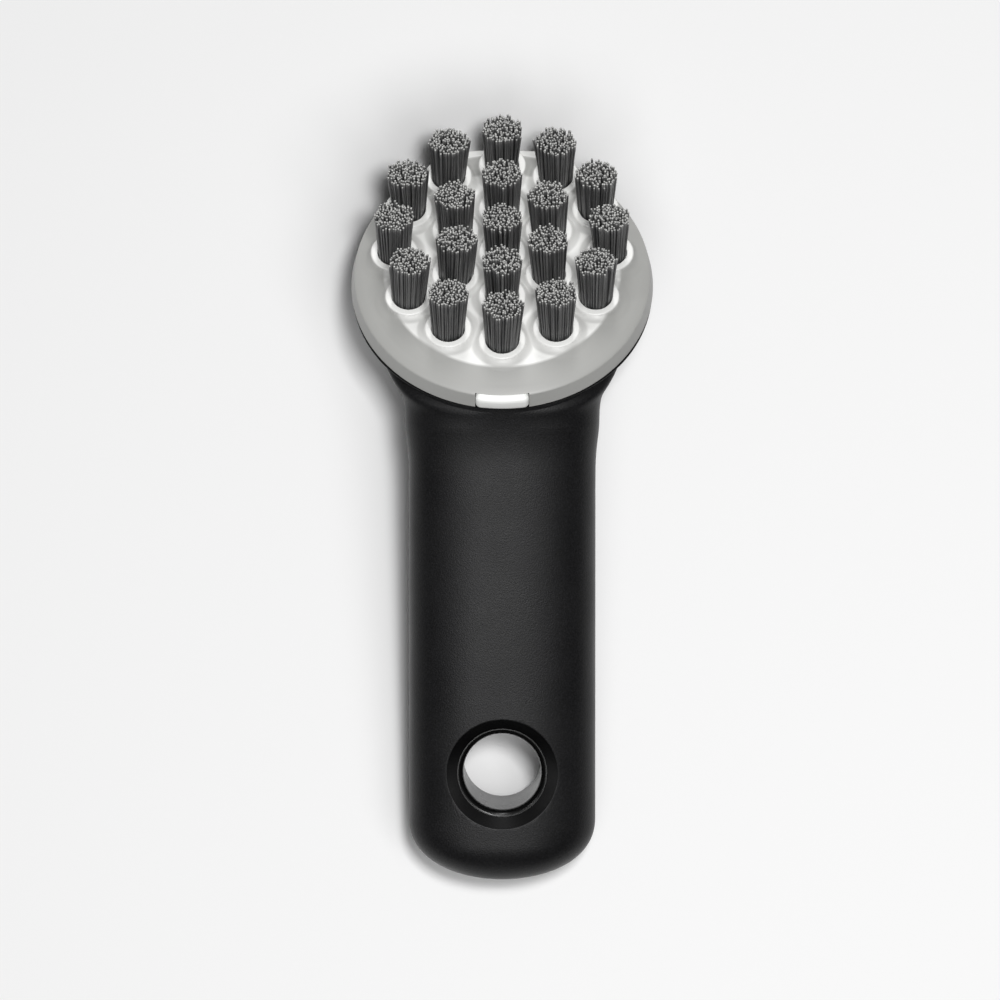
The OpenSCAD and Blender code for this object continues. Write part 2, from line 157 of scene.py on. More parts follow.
def world_y(p):
    return p[0] * math.cos(TILT) + p[1] * math.sin(TILT)


def world_z(p):
    return p[1] * math.cos(TILT) - p[0] * math.sin(TILT)


TOE_TIP = (PATTERN_SHIFT + 2 * RING_PITCH, COLLAR_TOP + BRISTLE_LEN)
REACH_FRONT = world_y(TOE_TIP) + TIP_REACH * math.cos(TILT)
REACH_BACK = world_y(END_TOP_C) - END_R
HEAD_Y = -(REACH_FRONT + REACH_BACK) / 2
HEAD_Z = TOE_R - REST_FLAT - world_z(TOE_C)

# Frames of the head and of the hanging hole in the row's frame
METRES = Matrix.Scale(0.001, 4)
HEAD = METRES @ Matrix.Translation((0, HEAD_Y, HEAD_Z)) @ Matrix.Rotation(-TILT, 4, "X")
HOLE_C = PIVOT + DOWN * (COVE_R + HANDLE_T / 2) + ALONG * (HANDLE_LEN - HOLE_INSET)
HOLE_IN_HEAD = Matrix.Translation((0, HOLE_C[0], HOLE_C[1])) @ Matrix.Rotation(
    math.pi / 2 - FAN, 4, "X"
)


def smoothstep(low, high, value):
    t = min(max((value - low) / (high - low), 0), 1)
    return t * t * (3 - 2 * t)


def signed_pow(value, power):
    return math.copysign(abs(value) ** power, value)


# Mesh helpers


def sweep(sections, place, segments, bm=None):
    """Closed skin through one ring per section. place(section, turn) is a ring's point."""
    bm = bm or bmesh.new()
    turn = bm.verts.layers.float.get("turn") or bm.verts.layers.float.new("turn")
    ring = bmesh.ops.create_circle(bm, segments=segments, radius=1)["verts"]
    for vert in ring:
        vert[turn] = math.atan2(vert.co.y, vert.co.x)
        vert.co = place(sections[0], vert[turn])
    edges = list(dict.fromkeys(edge for vert in ring for edge in vert.link_edges))
    first = edges
    for section in sections[1:]:
        made = bmesh.ops.extrude_edge_only(bm, edges=edges)["geom"]
        edges = [g for g in made if isinstance(g, bmesh.types.BMEdge) and g.is_boundary]
        for vert in dict.fromkeys(vert for edge in edges for vert in edge.verts):
            vert.co = place(section, vert[turn])
    bmesh.ops.contextual_create(bm, geom=first)
    bmesh.ops.contextual_create(bm, geom=edges)
    bmesh.ops.recalc_face_normals(bm, faces=bm.faces)
    return bm


def loose_object(bm):
    mesh = bpy.data.meshes.new("loose")
    bm.to_mesh(mesh)
    bm.free()
    return bpy.data.objects.new("loose", mesh)


def combine(bm, others, operation):
    """The solid bm with each of the other solids cut from it or joined to it."""
    main = loose_object(bm)
    tools = [loose_object(other) for other in others]
    for item in [main, *tools]:
        bpy.context.scene.collection.objects.link(item)
    for tool in tools:
        modifier = main.modifiers.new("combine", "BOOLEAN")
        modifier.object = tool
        modifier.operation = operation
        modifier.solver = "EXACT"
    shaped = main.evaluated_get(bpy.context.evaluated_depsgraph_get())
    result = bmesh.new()
    result.from_mesh(shaped.to_mesh())
    shaped.to_mesh_clear()
    for item in [main, *tools]:
        bpy.data.objects.remove(item)
    return result


def box(low, high):
    """Closed box from its low corner to its high corner."""
    bm = bmesh.new()
    bmesh.ops.create_cube(bm, size=1)
    low, high = Vector(low), Vector(high)
    bmesh.ops.scale(bm, vec=high - low, verts=bm.verts)
    bmesh.ops.translate(bm, vec=(low + high) / 2, verts=bm.verts)
    return bm


def round_edges(bm, edges, radius, segments):
    bmesh.ops.bevel(
        bm,
        geom=edges,
        offset=radius,
        segments=segments,
        profile=0.5,
        affect="EDGES",
        material=-1,
    )


def add_piece(name, bm, body, material, replaced, crease):
    """Makes the mesh a piece that rides on a body and stands for its CAD nodes.

    Edges that turn by more than the crease, in degrees, are drawn sharp.
    """
    limit = math.radians(crease)
    for face in bm.faces:
        face.smooth = True
    for edge in bm.edges:
        edge.smooth = len(edge.link_faces) == 2 and edge.calc_face_angle() < limit
    mesh = bpy.data.meshes.new(name)
    bm.to_mesh(mesh)
    bm.free()
    mesh.materials.append(material)
    piece = bpy.data.objects.new(name, mesh)
    bpy.context.scene.collection.objects.link(piece)
    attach(piece, body)
    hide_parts(*replaced)
    return piece


# Node groups that more than one material uses


def new_group(name, inputs, outputs):
    group = bpy.data.node_groups.new(name, "ShaderNodeTree")
    for label, value in inputs:
        socket = group.interface.new_socket(
            label, in_out="INPUT", socket_type="NodeSocketFloat"
        )
        socket.default_value = value
    for label in outputs:
        group.interface.new_socket(label, in_out="OUTPUT", socket_type="NodeSocketFloat")
    nodes = group.nodes
    return group, nodes.new("NodeGroupInput"), nodes.new("NodeGroupOutput")


def moulded_grain_group():
    """Fine pebbled grain of a moulded surface: a height, and a mask of its hollows that the
    elastomers use for painted shade.
    """
    group, given, out = new_group(
        "moulded_grain", [("Scale", 2500), ("Softness", 0.5)], ["Height", "Hollows"]
    )
    nodes, links = group.nodes, group.links
    place = nodes.new("ShaderNodeTexCoord")
    pebbles = nodes.new("ShaderNodeTexVoronoi")
    pebbles.feature = "SMOOTH_F1"
    fine = nodes.new("ShaderNodeTexNoise")
    fine.inputs["Detail"].default_value = 3
    mix = nodes.new("ShaderNodeMix")
    ramp = nodes.new("ShaderNodeMapRange")
    ramp.inputs["From Min"].default_value = 0.35
    ramp.inputs["From Max"].default_value = 0.75
    links.new(place.outputs["Object"], pebbles.inputs["Vector"])
    links.new(place.outputs["Object"], fine.inputs["Vector"])
    links.new(given.outputs["Scale"], pebbles.inputs["Scale"])
    links.new(given.outputs["Scale"], fine.inputs["Scale"])
    links.new(given.outputs["Softness"], mix.inputs["Factor"])
    links.new(pebbles.outputs["Distance"], mix.inputs["A"])
    links.new(fine.outputs["Fac"], mix.inputs["B"])
    links.new(mix.outputs["Result"], out.inputs["Height"])
    links.new(mix.outputs["Result"], ramp.inputs["Value"])
    links.new(ramp.outputs["Result"], out.inputs["Hollows"])
    return group


def mottle_group():
    """Slow, faint variation over a surface, between two values."""
    group, given, out = new_group(
        "mottle", [("Scale", 60), ("Low", 0.4), ("High", 0.5)], ["Value"]
    )
    nodes, links = group.nodes, group.links
    place = nodes.new("ShaderNodeTexCoord")
    clouds = nodes.new("ShaderNodeTexNoise")
    clouds.inputs["Detail"].default_value = 4
    spread = nodes.new("ShaderNodeMapRange")
    spread.inputs["From Min"].default_value = 0.3
    spread.inputs["From Max"].default_value = 0.7
    links.new(place.outputs["Object"], clouds.inputs["Vector"])
    links.new(given.outputs["Scale"], clouds.inputs["Scale"])
    links.new(clouds.outputs["Fac"], spread.inputs["Value"])
    links.new(given.outputs["Low"], spread.inputs["To Min"])
    links.new(given.outputs["High"], spread.inputs["To Max"])
    links.new(spread.outputs["Result"], out.inputs["Value"])
    return group


MOULDED_GRAIN = moulded_grain_group()
MOTTLE = mottle_group()


# Materials


def start_material(name, **sockets):
    material = bpy.data.materials.new(name)
    material.use_nodes = True
    shader = material.node_tree.nodes["Principled BSDF"]
    for label, value in sockets.items():
        shader.inputs[label.replace("_", " ")].default_value = value
    return material, material.node_tree, shader


def place_group(tree, group, **values):
    node = tree.nodes.new("ShaderNodeGroup")
    node.node_tree = group
    for label, value in values.items():
        node.inputs[label].default_value = value
    return node


def colour_between(tree, factor, start, end):
    """Colour that goes with a factor from start to end, each fixed or another node's."""
    mix = tree.nodes.new("ShaderNodeMix")
    mix.data_type = "RGBA"
    tree.links.new(factor, mix.inputs["Factor"])
    for label, colour in (("A", start), ("B", end)):
        if isinstance(colour, tuple):
            mix.inputs[label].default_value = (*colour, 1)
        else:
            tree.links.new(colour, mix.inputs[label])
    return mix.outputs["Result"]


def attribute_value(tree, name):
    """Value of a vertex attribute of the piece."""
    node = tree.nodes.new("ShaderNodeAttribute")
    node.attribute_name = name
    return node.outputs["Fac"]


def add_bump(tree, shader, height, distance, strength=1):
    bump = tree.nodes.new("ShaderNodeBump")
    bump.inputs["Distance"].default_value = distance
    bump.inputs["Strength"].default_value = strength
    tree.links.new(height, bump.inputs["Height"])
    tree.links.new(bump.outputs["Normal"], shader.inputs["Normal"])


def soft_grip_material():
    """Matte black elastomer with a fine grain that glints a little, and painted shade in the
    grain's hollows.
    """
    material, tree, shader = start_material(
        "soft_grip", IOR=1.5, Specular_IOR_Level=0.27, Sheen_Weight=0.03, Sheen_Roughness=0.35
    )
    grain = place_group(tree, MOULDED_GRAIN, Scale=3900, Softness=0.6)
    mottle = place_group(tree, MOTTLE, Scale=90, Low=0.42, High=0.5)
    # Painted shade: the colour darkens in the grain's hollows
    colour = colour_between(
        tree, grain.outputs["Hollows"], (0.0015, 0.0015, 0.0018), (0.012, 0.012, 0.013)
    )
    tree.links.new(colour, shader.inputs["Base Color"])
    tree.links.new(mottle.outputs["Value"], shader.inputs["Roughness"])
    add_bump(tree, shader, grain.outputs["Height"], 0.00006)
    return material


def recess_painted_shade_material():
    """The same elastomer with a finer grain, made darker and less glossy in the recess round the
    hole as painted shade, with painted shade in the grain's hollows.
    """
    material, tree, shader = start_material("recess_painted_shade", IOR=1.5, Specular_IOR_Level=0.12)
    grain = place_group(tree, MOULDED_GRAIN, Scale=5200, Softness=0.6)
    mottle = place_group(tree, MOTTLE, Scale=200, Low=0.42, High=0.5)
    colour = colour_between(
        tree, grain.outputs["Hollows"], (0.001, 0.001, 0.0011), (0.003, 0.003, 0.0033)
    )
    tree.links.new(colour, shader.inputs["Base Color"])
    tree.links.new(mottle.outputs["Value"], shader.inputs["Roughness"])
    add_bump(tree, shader, grain.outputs["Height"], 0.00003)
    return material


def gloss_core_material():
    """Polished black polypropylene with faint moulding waves."""
    material, tree, shader = start_material("gloss_core", IOR=1.49, Specular_IOR_Level=0.3)
    mottle = place_group(tree, MOTTLE, Scale=140, Low=0.24, High=0.3)
    colour = colour_between(
        tree, mottle.outputs["Value"], (0.002, 0.002, 0.002), (0.004, 0.004, 0.004)
    )
    tree.links.new(colour, shader.inputs["Base Color"])
    tree.links.new(mottle.outputs["Value"], shader.inputs["Roughness"])
    add_bump(tree, shader, mottle.outputs["Value"], 0.0001, 0.3)
    return material


def plate_material():
    """Satin light grey plastic with a micro texture, painted lighter as painted light on the field
    round the tufts, their rings and the toe's bevel, with painted shade on the cones' slopes.
    """
    material, tree, shader = start_material("satin_plate", IOR=1.58, Specular_IOR_Level=0.5)
    grain = place_group(tree, MOULDED_GRAIN, Scale=4200, Softness=0.8)
    mottle = place_group(tree, MOTTLE, Scale=45, Low=0.4, High=0.46)
    tone = place_group(tree, MOTTLE, Scale=25, Low=0, High=1)
    ring = colour_between(tree, tone.outputs["Value"], (0.32, 0.32, 0.309), (0.35, 0.35, 0.337))
    field = colour_between(tree, tone.outputs["Value"], (0.79, 0.79, 0.772), (0.82, 0.82, 0.802))
    # The share of painted light turns the plate's grey into the lighter colour of the lit field
    colour = colour_between(tree, attribute_value(tree, "painted_light"), ring, field)
    tree.links.new(colour, shader.inputs["Base Color"])
    tree.links.new(mottle.outputs["Value"], shader.inputs["Roughness"])
    add_bump(tree, shader, grain.outputs["Height"], 0.000012)
    return material


def tab_material():
    """Satin white nylon, a little waxy."""
    material, tree, shader = start_material("white_tab", IOR=1.5)
    grain = place_group(tree, MOULDED_GRAIN, Scale=3600, Softness=0.8)
    mottle = place_group(tree, MOTTLE, Scale=120, Low=0.3, High=0.4)
    colour = colour_between(
        tree, mottle.outputs["Value"], (0.8, 0.81, 0.79), (0.86, 0.87, 0.85)
    )
    tree.links.new(colour, shader.inputs["Base Color"])
    tree.links.new(mottle.outputs["Value"], shader.inputs["Roughness"])
    add_bump(tree, shader, grain.outputs["Height"], 0.00001)
    return material


def filament_material():
    """Dark grey nylon filament, painted lighter toward its top and on its cut tips as painted
    light.
    """
    material, tree, shader = start_material("nylon_filament", IOR=1.53)
    shade = attribute_value(tree, "shade")
    side = colour_between(tree, shade, (0.035, 0.035, 0.036), (0.105, 0.105, 0.105))
    cut = colour_between(tree, shade, (0.24, 0.24, 0.235), (0.48, 0.48, 0.465))
    colour = colour_between(tree, attribute_value(tree, "tip"), side, cut)
    tree.links.new(colour, shader.inputs["Base Color"])
    mottle = place_group(tree, MOTTLE, Scale=700, Low=0.28, High=0.42)
    tree.links.new(mottle.outputs["Value"], shader.inputs["Roughness"])
    add_bump(tree, shader, mottle.outputs["Value"], 0.00002, 0.4)
    return material


def anchor_material():
    """Plain stainless strip with rolling marks."""
    material, tree, shader = start_material("anchor_strip", Metallic=1.0)
    mottle = place_group(tree, MOTTLE, Scale=900, Low=0.25, High=0.4)
    colour = colour_between(
        tree, mottle.outputs["Value"], (0.55, 0.55, 0.54), (0.68, 0.68, 0.67)
    )
    tree.links.new(colour, shader.inputs["Base Color"])
    tree.links.new(mottle.outputs["Value"], shader.inputs["Roughness"])
    return material


def floor_material():
    """Plain matte white."""
    material, _, shader = start_material("studio_floor", Roughness=0.8, Specular_IOR_Level=0.1)
    shader.inputs["Base Color"].default_value = (0.88, 0.88, 0.88, 1)
    return material


# Soft grip

SKIN_SEGMENTS = 128
BORE_SEGMENTS = 144
POCKET_SEGMENTS = 96
FAN_STEPS = 56
FAN_CROWD = 1.5
SHAFT_STEPS = 70
END_STEPS = 26
END_SWEEP = math.radians(88)
FLARE_POWER = 1.5
TANGENT_SHARE = 0.999
# The lip beside the plate's rim: degrees that it takes, and how proud and square it is
LIP_DEG = 2.5
LIP_BEAD = 0.2
LIP_SQUARE = 0.1
# Soft fill of the neck's cove: an arc from the seam that runs into the handle's face
FILL_R = 40
FILL_DROP = COVE_R * (1 - math.cos(FAN))
FILL_END = math.sqrt(FILL_DROP * (2 * FILL_R - FILL_DROP)) - COVE_R * math.sin(FAN)
# The softened edge of the hole's recess and the steps of its funnel
EDGE_ROUND = 0.2
EDGE_STEPS = 4
FUNNEL_STEPS = 4


def back_limit(d):
    """Angle below the plate up to which the toe's circle is met from the cove's axis."""
    return math.asin((TOE_R - d) / (TOE_C - PIVOT).length)


def fan_back(a, d):
    """Distance from the cove's axis to the back of the head, at an angle below the plate."""
    if a < back_limit(d) * TANGENT_SHARE:
        c = TOE_C - PIVOT
        mid = c.x * math.cos(a) - c.y * math.sin(a)
        return mid + math.sqrt(mid * mid - c.length_squared + (TOE_R - d) ** 2)
    plane = (TOE_R - d) / math.sin(a)
    shaft = (COVE_R + HANDLE_T - d) / math.cos(FAN - a)
    return (plane**BACK_BLEND + shaft**BACK_BLEND) ** (1 / BACK_BLEND)


def fan_front(a, d):
    """Distance from the cove's axis to the skin in the neck, at an angle below the plate."""
    if d > 0:
        return COVE_R + d
    turn = FAN - a
    level = FILL_R - COVE_R
    across = level * math.cos(turn) + FILL_END * math.sin(turn)
    return math.sqrt(across**2 + FILL_R**2 - level**2 - FILL_END**2) - across


def shaft_front(s, d):
    """The same, at a distance s along the handle."""
    if d > 0 or s > FILL_END:
        return COVE_R + d
    return COVE_R - FILL_R + math.sqrt(FILL_R**2 - (FILL_END - s) ** 2)


def fan_section(a, d, lift=0):
    """Section of the head's back, at a depth d under the skin's surface."""
    neck = HANDLE_W / 2 + NECK_FLARE
    flare = math.exp(-((math.degrees(a) / FLARE_DEG) ** FLARE_POWER))
    lip = math.exp(-((math.degrees(a) / LIP_DEG) ** 2)) if d == 0 else 0
    return (
        PIVOT + Vector((0, lift)),
        Vector((math.cos(a), -math.sin(a))),
        fan_front(a, d),
        fan_back(a, d),
        neck + (CUP_R - neck) * flare - d + LIP_BEAD * lip,
        HEAD_EXPONENT + (SHAFT_EXPONENT - HEAD_EXPONENT) * a / FAN + LIP_SQUARE * lip,
    )


def shaft_section(s, d):
    """Section of the handle at a distance s along it, at a depth d under the surface."""
    past = s - (HANDLE_LEN - END_R)
    r = END_R - d
    side = r - math.sqrt(max(r * r - past * past, 0)) if past > 0 else 0
    out = (s - (HANDLE_LEN - END_LEN)) / (END_LEN - d)
    plan = max(1 - out**END_EXPONENT, 0) ** (1 / END_EXPONENT) if out > 0 else 1
    return (
        PIVOT + ALONG * s,
        DOWN,
        shaft_front(s, d) + side,
        COVE_R + HANDLE_T - d - side,
        (HANDLE_W / 2 - d) * plan + NECK_FLARE * math.exp(-((s / NECK_FADE) ** 2)),
        SHAFT_EXPONENT,
    )


def grip_sections(d, lift):
    """All sections of the skin from the seam to the handle's end, or from a lift above."""
    straight = HANDLE_LEN - END_LEN
    return (
        ([fan_section(0, d, lift)] if lift else [])
        + [fan_section(FAN * (i / FAN_STEPS) ** FAN_CROWD, d) for i in range(FAN_STEPS + 1)]
        + [shaft_section(straight * i / SHAFT_STEPS, d) for i in range(1, SHAFT_STEPS + 1)]
        + [
            shaft_section(straight + (END_LEN - d) * math.sin(END_SWEEP * i / END_STEPS), d)
            for i in range(1, END_STEPS + 1)
        ]
    )


def grip_point(section, turn):
    """Point of a section's superellipse."""
    origin, across, near, far, half_w, exponent = section
    x = half_w * signed_pow(math.cos(turn), 2 / exponent)
    v = (near + far) / 2 + (far - near) / 2 * signed_pow(math.sin(turn), 2 / exponent)
    p = origin + across * v
    return Vector((x, p.x, p.y))


def face_height(x):
    """Height of the handle's face above its middle, at a distance x across."""
    share = min(abs(x) / (HANDLE_W / 2), 1)
    return HANDLE_T / 2 * (1 - share**SHAFT_EXPONENT) ** (1 / SHAFT_EXPONENT)


def hole_levels():
    """Rings of the hole's cutter as functions of the turn, from the middle up."""
    inner = LINER_R + BOND_GAP
    floor_z = HANDLE_T / 2 - RECESS_DEPTH

    def funnel(share):
        def ring(turn):
            edge_z = face_height(RECESS_R * math.cos(turn)) - RECESS_STEP
            return inner + (RECESS_R - inner) * share, floor_z + (edge_z - floor_z) * share

        return ring

    def edge(angle):
        def ring(turn):
            r = RECESS_R + EDGE_ROUND * (1 - math.cos(angle))
            z = face_height(r * math.cos(turn)) - EDGE_ROUND * (1 - math.sin(angle))
            return r, z

        return ring

    steps = [math.pi / 2 * i / EDGE_STEPS for i in range(EDGE_STEPS + 1)]
    top = HANDLE_T / 2 + CUT_PAST
    return (
        [lambda turn: (inner, floor_z / 2)]
        + [funnel(i / FUNNEL_STEPS) for i in range(FUNNEL_STEPS + 1)]
        + [edge(angle) for angle in steps]
        + [lambda turn: (RECESS_R + EDGE_ROUND, top)]
    )


def hole_cutter():
    """Cutter for the hanging hole and its recesses on both faces."""
    levels = hole_levels()
    both = [(level, -1) for level in reversed(levels)] + [(level, 1) for level in levels]

    def place(section, turn):
        level, side = section
        r, z = level(turn)
        return Vector((r * math.cos(turn), r * math.sin(turn), side * z))

    bm = sweep(both, place, BORE_SEGMENTS)
    bm.transform(HOLE_IN_HEAD)
    return bm


def liner_pocket(side):
    """Room that the skin fills round the liner, on one face of the handle."""
    low = HANDLE_T / 2 - RECESS_DEPTH - SKIN_T
    bm = bmesh.new()
    bmesh.ops.create_cone(
        bm,
        cap_ends=True,
        segments=POCKET_SEGMENTS,
        radius1=RECESS_R + SKIN_T,
        radius2=RECESS_R + SKIN_T,
        depth=HANDLE_T,
    )
    bmesh.ops.translate(bm, vec=(0, 0, side * (low + HANDLE_T / 2)), verts=bm.verts)
    bm.transform(HOLE_IN_HEAD)
    return bm


def make_grip():
    """The soft skin: a shell round the core that also lines the recesses of the hole."""
    outer = sweep(grip_sections(0, 0), grip_point, SKIN_SEGMENTS)
    inner = sweep(grip_sections(SKIN_T, CUT_PAST), grip_point, SKIN_SEGMENTS)
    inner = combine(inner, [liner_pocket(1), liner_pocket(-1)], "DIFFERENCE")
    bm = combine(outer, [inner, hole_cutter()], "DIFFERENCE")
    to_hole = HOLE_IN_HEAD.inverted()
    # Faces in the recess round the hole take the second material, the elastomer darkened as
    # painted shade
    for face in bm.faces:
        middle = to_hole @ face.calc_center_median()
        face.material_index = int(math.hypot(middle.x, middle.y) < RECESS_R)
    bm.transform(HEAD)
    # The flats that the brush rests on
    for vert in bm.verts:
        vert.co.z = max(vert.co.z, 0)
    piece = add_piece(
        "grip_skin", bm, "brush", soft_grip_material(), ["grip"], crease=35
    )
    piece.data.materials.append(recess_painted_shade_material())
    return piece


# Bristle plate

PLATE_SEGMENTS = 420
FACE_STEPS = 90
BENDS = 9
BAND_STEPS = 5
QUARTER_STEPS = 8
PLATEAU_H = 0.55
PLATEAU_R = 24.3
PLATEAU_SOFT = 0.5
RING_DROP = 0.8
COLLAR_R = 5
COLLAR_ROUND = 0.5
HOLE_ROUND = 0.25
COLLAR_FOOT = 3.5
# Two counts without a common factor, so that the holes' edges cross the collars' cleanly
COLLAR_SEGMENTS = 95
HOLE_SEGMENTS = 97
RING_TOP = COLLAR_TOP + 0.2
CONE_IN = COLLAR_R - 0.15
CONE_OUT = 7
CONE_TOP = RING_TOP - 0.15
# Share of the cone's height kept inside its collar, and its slopes at its two ends
CONE_CORE = 0.9
CONE_START_SLOPE = -3.2
CONE_END_SLOPE = -0.6
POLE_R = 0.3
RELIEF_FADE = (FACE_R - 1.5, PLATE_R - BAND_DRAFT)
WINDOW_REACH = 5
# The scraper: where its bevel starts, and how its edge is softened and tucked under
TOE_FACE_R = 29.8
TOE_FLAT_STEPS = 2
SCRAPER_SOFT = 0.15
SCRAPER_TUCK = (0.05, 0.1)
SCRAPER_REACH = PLATE_R + SCRAPER_PROUD
LOBE_Y = SCRAPER_REACH - math.sqrt(SCRAPER_LOBE_R**2 - SCRAPER_W**2 / 4)
# Least sine of a turn that the lobe can reach, and the angles from the toe over which the
# scraper's rim turns into the plain one
LOBE_SINE = 0.5
TOE_FADE_DEG = (25, 36)
# The painted light: its lowest height, how far painted shade greys it on the cones' slopes, and
# its edges
PAINTED_LIGHT_LOW = 2.5
SLOPE_PAINTED_SHADE = 0.5
RING_FADE = (COLLAR_R - 0.4, COLLAR_R + 0.1)
SLOPE_FADE = (CONE_OUT - 0.9, CONE_OUT - 0.2)
FIELD_FADE = (PLATEAU_R - 0.2, PLATEAU_R + 0.5)
BEVEL_FADE = (TOE_FACE_R - 0.1, TOE_FACE_R + 0.2)


def toe_outline(turn):
    """Reach of the scraper's lobe at a turn round the plate, never inside the rim."""
    toward = math.sin(turn)
    if toward <= LOBE_SINE:
        return PLATE_R
    aside = math.cos(turn)
    lobe = LOBE_Y * toward + math.sqrt(SCRAPER_LOBE_R**2 - (LOBE_Y * aside) ** 2)
    return max(min(lobe, SCRAPER_REACH / toward), PLATE_R)


def toe_weight(turn):
    """1 at the scraper, 0 at the plain rim."""
    from_toe = abs(math.degrees(math.atan2(math.cos(turn), math.sin(turn))))
    return 1 - smoothstep(*TOE_FADE_DEG, from_toe)


def tuft_distance(x, y):
    """Distance from a point of the face to the middle of the nearest tuft."""
    return min(math.hypot(x - tuft_x, y - tuft_y) for _, tuft_x, tuft_y in TUFTS)


def ring_share(r):
    """Share of the way from the flat middle of the face, over its ring, to the rim."""
    past = r - PLATEAU_R
    return (past + math.sqrt(past * past + PLATEAU_SOFT**2)) / 2 / (FACE_R - PLATEAU_R)


def ring_fall(r, turn):
    """How far the ring has fallen toward the rim, which it doesn't do at the scraper."""
    return RING_DROP * min(ring_share(r), 1) * (1 - toe_weight(turn))


def cone(d):
    """Share of a collar's height that its cone keeps at a distance from the tuft."""
    t = min((d - CONE_IN) / (CONE_OUT - CONE_IN), 1)
    if t < 0:
        return CONE_CORE
    plain = (2 * t - 3) * t * t + 1
    return plain + CONE_START_SLOPE * t * (1 - t) ** 2 - CONE_END_SLOPE * (1 - t) * t * t


def relief(x, y, fall):
    """Height of the face over its fallen level, with the cones round the tufts."""
    swell = PLATEAU_H * (1 - ring_share(math.hypot(x, y)))
    return swell + (CONE_TOP - PLATE_H + fall - swell) * cone(tuft_distance(x, y))


def plain_rim(step):
    """Point (r, z) of the rounded rim and its band, a step down from the face."""
    if step <= BENDS:
        t = step / BENDS
        start_z = PLATE_H - RING_DROP
        slope = (PLATEAU_H + RING_DROP) / (FACE_R - PLATEAU_R)
        corner_z = start_z - slope * RIM_FILLET
        r = FACE_R + RIM_FILLET * (1 - (1 - t) ** 2)
        return r, start_z * (1 - t) ** 2 + 2 * corner_z * t * (1 - t) + BAND_H * t * t
    share = (step - BENDS) / BAND_STEPS
    return PLATE_R - BAND_DRAFT * (1 - share), BAND_H * (1 - share)


def scraper_rim(step, turn):
    """Point (r, z) of the scraper's bevel and edge, a step down from the face."""
    outline = toe_outline(turn)
    edge_z = PLATE_H - (outline - FACE_R) * math.tan(SCRAPER_SLOPE)
    low_z = edge_z - SCRAPER_EDGE
    if step <= TOE_FLAT_STEPS:
        return FACE_R + (TOE_FACE_R - FACE_R) * step / TOE_FLAT_STEPS, PLATE_H
    if step <= BENDS:
        share = (step - TOE_FLAT_STEPS) / (BENDS - TOE_FLAT_STEPS)
        reach = outline - SCRAPER_SOFT - TOE_FACE_R
        return TOE_FACE_R + reach * share, PLATE_H + (edge_z - PLATE_H) * share
    under = [
        (outline, edge_z - SCRAPER_SOFT),
        (outline, low_z + SCRAPER_SOFT),
        (outline - SCRAPER_SOFT, low_z),
        (PLATE_R - SCRAPER_TUCK[0], low_z - SCRAPER_TUCK[1]),
        (PLATE_R, 0),
    ]
    return under[step - BENDS - 1]


def plate_point(section, turn):
    """Point of the plate's face, rim or underside."""
    kind, value = section
    toward = Vector((math.cos(turn), math.sin(turn), 0))
    if kind == "under":
        return toward * value[0] + Vector((0, 0, value[1]))
    r, z = value, PLATE_H
    if kind == "face":
        z -= ring_fall(r, turn)
    if kind == "rim":
        plain, scraper = plain_rim(value), scraper_rim(value, turn)
        weight = toe_weight(turn)
        r = plain[0] + (scraper[0] - plain[0]) * weight
        z = plain[1] + (scraper[1] - plain[1]) * weight
    if kind == "face" or value <= BENDS:
        fade = 1 - smoothstep(*RELIEF_FADE, r)
        z += fade * relief(r * toward.x, r * toward.y, ring_fall(r, turn))
    return toward * r + Vector((0, 0, z))


def painted_light_share(x, y, z):
    """Share of painted light: the field round the tufts, their rings and the toe's bevel, greyed
    by painted shade on the cones' slopes.
    """
    if z < PAINTED_LIGHT_LOW:
        return 0
    r = math.hypot(x, y)
    nearest = tuft_distance(x, y)
    ring = 1 - smoothstep(*RING_FADE, nearest)
    # Painted shade on the cones' slopes round the tufts
    slope = 1 - ring - smoothstep(*SLOPE_FADE, nearest)
    field = 1 - smoothstep(*FIELD_FADE, r)
    bevel = toe_weight(math.atan2(y, x)) * smoothstep(*BEVEL_FADE, r)
    return max(ring, field * (1 - SLOPE_PAINTED_SHADE * slope), bevel)


def lathe(levels, segments):
    """One turned solid with the levels (r, z) round each tuft."""
    bm = bmesh.new()
    for _, x, y in TUFTS:

        def place(level, turn, x=x, y=y):
            r, z = level
            return Vector((x + r * math.cos(turn), y + r * math.sin(turn), z))

        sweep(levels, place, segments, bm)
    return bm


def quarter(r, z, radius, outward):
    """Levels of a rounded edge, from the wall at r up to the flat at z."""
    steps = [math.radians(90 / QUARTER_STEPS * i) for i in range(QUARTER_STEPS + 1)]
    side = 1 if outward else -1
    return [
        (r + side * radius * (1 - math.cos(a)), z - radius * (1 - math.sin(a)))
        for a in steps
    ]


def collars():
    """The raised ring round each tuft."""
    levels = [(COLLAR_R, COLLAR_FOOT)] + quarter(COLLAR_R, RING_TOP, COLLAR_ROUND, False)
    return lathe(levels + [(TUFT_R, RING_TOP)], COLLAR_SEGMENTS)


def tuft_holes():
    """Cutters for the tufts' holes, with their softened mouths."""
    bore = TUFT_R + BOND_GAP
    lip = quarter(bore, RING_TOP, HOLE_ROUND, True)[:-1]
    levels = [(bore, TUFT_FLOOR)] + lip + [(lip[-1][0], RING_TOP + CUT_PAST)]
    return lathe(levels, HOLE_SEGMENTS)


